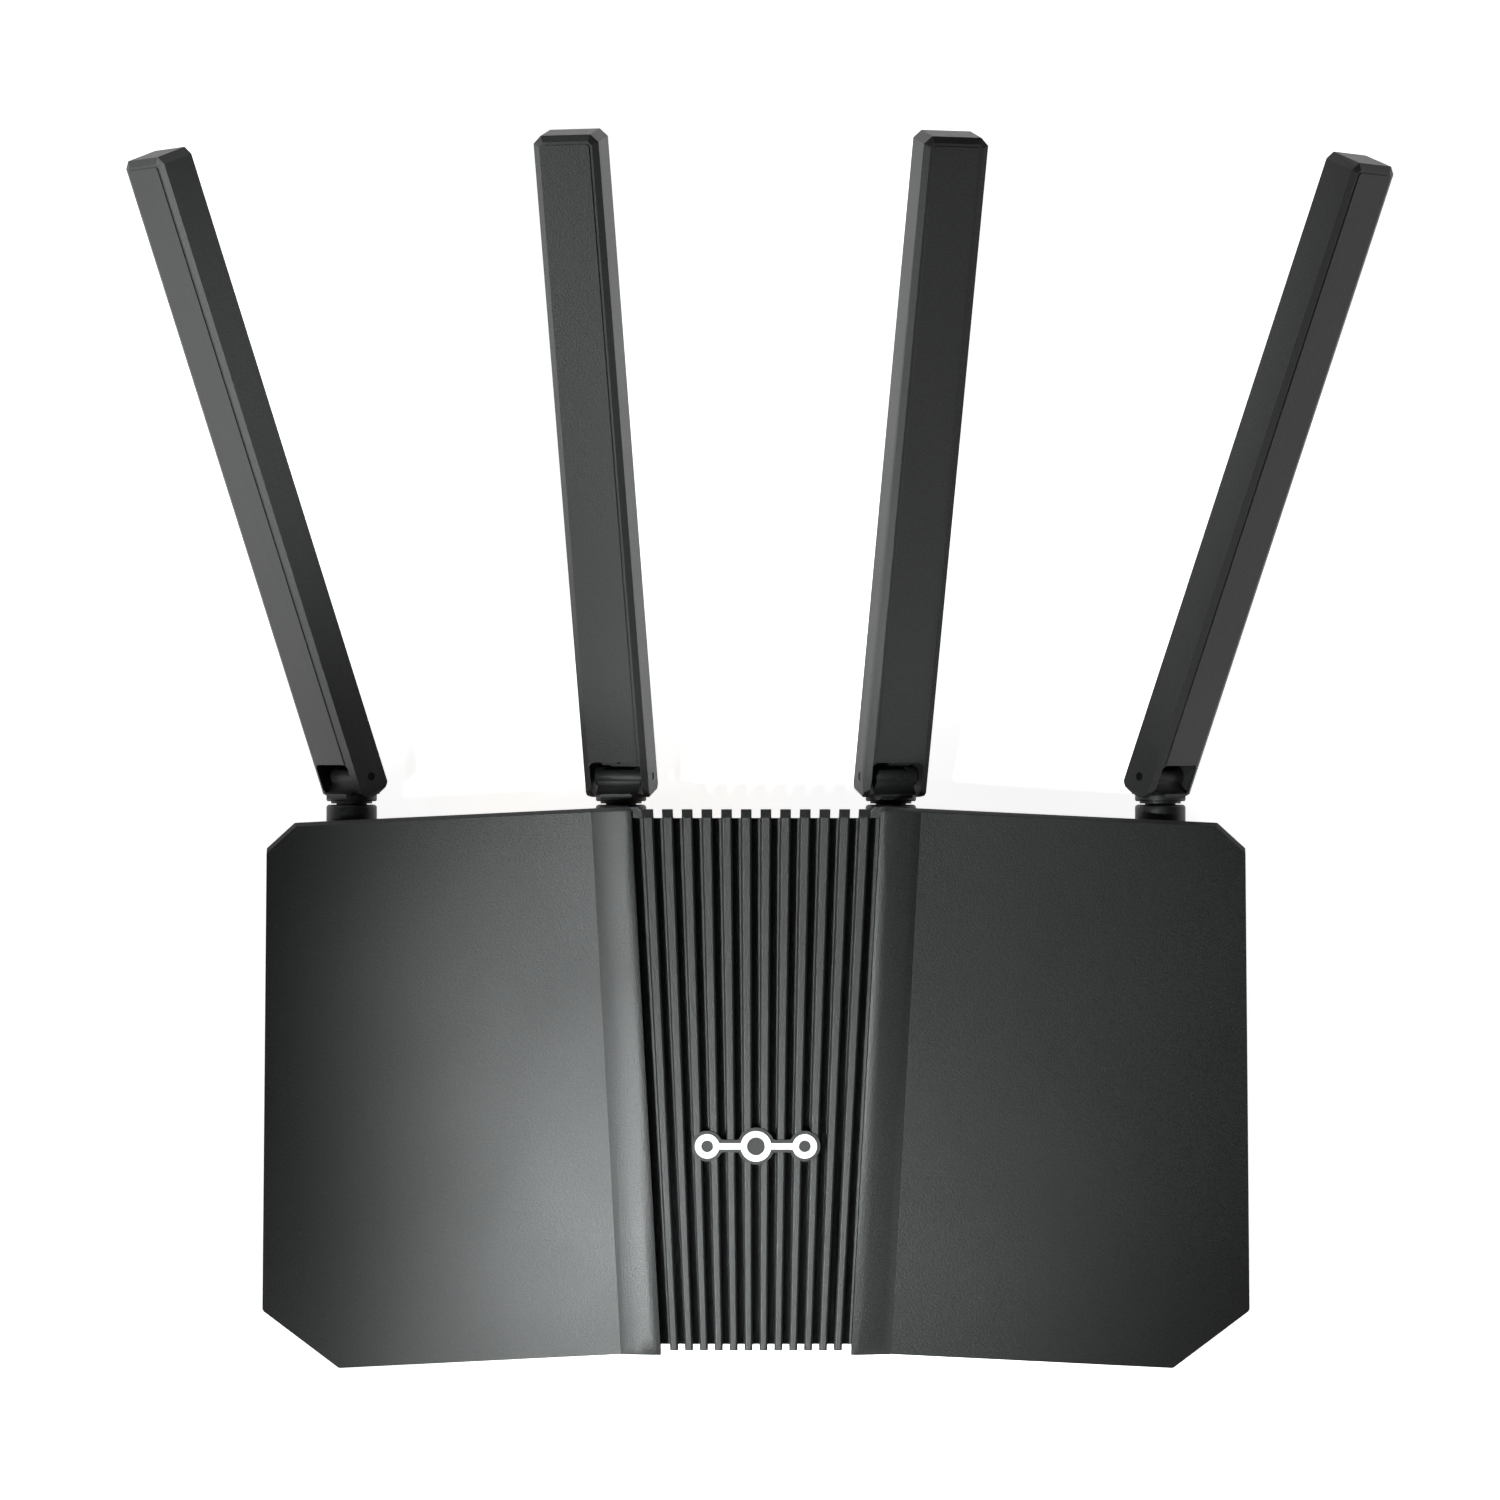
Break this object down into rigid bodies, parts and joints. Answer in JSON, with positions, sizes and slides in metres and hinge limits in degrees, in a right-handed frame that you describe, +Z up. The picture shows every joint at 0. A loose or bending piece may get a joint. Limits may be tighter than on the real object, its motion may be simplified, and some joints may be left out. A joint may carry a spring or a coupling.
{
  "type": "wireless router",
  "caption": "Low dark wireless router with a ribbed centre channel, two creased wing covers and folding, swivelling blade antennas at the rear.",
  "frame": {"origin": "middle of the overall box in plan with the antennas as built, at the bottom of the rubber feet", "axes": "+X to the right seen from the front edge, +Y from the front edge towards the antennas, +Z up"},
  "size_m": [0.3232, 0.3189, 0.0721],
  "materials": {
    "cover_plastic": "fine matte grain",
    "housing_plastic": "matte",
    "grille_plastic": "satin",
    "badge_backing": "satin",
    "badge_white": "satin",
    "foot_rubber": "matte",
    "screw_steel": "zinc plated",
    "board_green": "solder mask",
    "chip_black": "moulded",
    "thermal_grey": "soft",
    "sink_aluminium": "extruded",
    "shield_steel": "tin plated",
    "lamp_clear": "clear",
    "wan_blue": "moulded",
    "lan_yellow": "moulded",
    "connector_black": "moulded",
    "button_plastic": "satin",
    "antenna_plastic": "fine matte grain",
    "pin_black": "blackened",
    "clip_plastic": "acetal",
    "antenna_board": "solder mask"
  },
  "bodies": {
    "housing": {"base_plate": "housing_plastic", "lower_shell": "housing_plastic", "left_wing": "cover_plastic", "right_wing": "cover_plastic", "rib_grille": "grille_plastic", "badge_plate": "badge_backing", "badge_emblem": "badge_white", "port_panel": "housing_plastic", "rubber_feet": "foot_rubber", "housing_screws": "screw_steel", "main_board": "board_green", "board_screws": "screw_steel", "processor_chips": "chip_black", "thermal_pads": "thermal_grey", "heat_sink": "sink_aluminium", "radio_shields": "shield_steel", "status_lights": "lamp_clear", "light_pipe": "lamp_clear", "wan_jack": "wan_blue", "lan_jack_1": "lan_yellow", "lan_jack_2": "lan_yellow", "lan_jack_3": "lan_yellow", "lan_jack_4": "lan_yellow", "usb_socket": "shield_steel", "dc_socket": "connector_black", "dc_pin": "shield_steel", "power_switch": "connector_black", "tact_switches": "connector_black", "antenna_1_socket_bush": "housing_plastic", "antenna_2_socket_bush": "housing_plastic", "antenna_3_socket_bush": "housing_plastic", "antenna_4_socket_bush": "housing_plastic"},
    "antenna_1_swivel": {"antenna_1_knuckle": "antenna_plastic", "antenna_1_stem_clip": "clip_plastic"},
    "antenna_1_blade": {"antenna_1_hinge_pin": "pin_black", "antenna_1_back_shell": "antenna_plastic", "antenna_1_front_shell": "antenna_plastic", "antenna_1_radiator": "antenna_board"},
    "antenna_2_swivel": {"antenna_2_knuckle": "antenna_plastic", "antenna_2_stem_clip": "clip_plastic"},
    "antenna_2_blade": {"antenna_2_hinge_pin": "pin_black", "antenna_2_back_shell": "antenna_plastic", "antenna_2_front_shell": "antenna_plastic", "antenna_2_radiator": "antenna_board"},
    "antenna_3_swivel": {"antenna_3_knuckle": "antenna_plastic", "antenna_3_stem_clip": "clip_plastic"},
    "antenna_3_blade": {"antenna_3_hinge_pin": "pin_black", "antenna_3_back_shell": "antenna_plastic", "antenna_3_front_shell": "antenna_plastic", "antenna_3_radiator": "antenna_board"},
    "antenna_4_swivel": {"antenna_4_knuckle": "antenna_plastic", "antenna_4_stem_clip": "clip_plastic"},
    "antenna_4_blade": {"antenna_4_hinge_pin": "pin_black", "antenna_4_back_shell": "antenna_plastic", "antenna_4_front_shell": "antenna_plastic", "antenna_4_radiator": "antenna_board"},
    "power_button": {"power_button": "button_plastic"},
    "wps_button": {"wps_button": "button_plastic"},
    "reset_button": {"reset_button": "button_plastic"}
  },
  "joints": [
    {"name": "antenna_1_turn", "type": "hinge", "parent": "housing", "child": "antenna_1_swivel", "pos_m": [-0.1058, -0.0056, 0.018], "axis": [0, 1, 0], "range_deg": [-20.2, 79.8]},
    {"name": "antenna_1_fold", "type": "hinge", "parent": "antenna_1_swivel", "child": "antenna_1_blade", "pos_m": [-0.1058, -0.0056, 0.018], "axis": [0.6455, 0, 0.7638], "range_deg": [-21.2, 68.8]},
    {"name": "antenna_2_turn", "type": "hinge", "parent": "housing", "child": "antenna_2_swivel", "pos_m": [-0.0353, -0.0056, 0.018], "axis": [0, 1, 0], "range_deg": [-55.2, 84.8]},
    {"name": "antenna_2_fold", "type": "hinge", "parent": "antenna_2_swivel", "child": "antenna_2_blade", "pos_m": [-0.0353, -0.0056, 0.018], "axis": [0.9668, 0, 0.2554], "range_deg": [-15.9, 74.1]},
    {"name": "antenna_3_turn", "type": "hinge", "parent": "housing", "child": "antenna_3_swivel", "pos_m": [0.0353, -0.0056, 0.018], "axis": [0, 1, 0], "range_deg": [-87, 53]},
    {"name": "antenna_3_fold", "type": "hinge", "parent": "antenna_3_swivel", "child": "antenna_3_blade", "pos_m": [0.0353, -0.0056, 0.018], "axis": [0.9563, 0, -0.2924], "range_deg": [-16.6, 73.4]},
    {"name": "antenna_4_turn", "type": "hinge", "parent": "housing", "child": "antenna_4_swivel", "pos_m": [0.1058, -0.0056, 0.018], "axis": [0, 1, 0], "range_deg": [-76.5, 23.5]},
    {"name": "antenna_4_fold", "type": "hinge", "parent": "antenna_4_swivel", "child": "antenna_4_blade", "pos_m": [0.1058, -0.0056, 0.018], "axis": [0.6884, 0, -0.7254], "range_deg": [-22.9, 67.1]},
    {"name": "power_button_press", "type": "slide", "parent": "housing", "child": "power_button", "axis": [0, -1, 0], "range_m": [0, 0.0025], "stiffness_N_per_m": 300, "springref_m": -0.001},
    {"name": "wps_button_press", "type": "slide", "parent": "housing", "child": "wps_button", "axis": [0, -1, 0], "range_m": [0, 0.0006], "stiffness_N_per_m": 1500, "springref_m": -0.0003},
    {"name": "reset_button_press", "type": "slide", "parent": "housing", "child": "reset_button", "axis": [0, -1, 0], "range_m": [0, 0.0006], "stiffness_N_per_m": 1500, "springref_m": -0.0003}
  ]
}
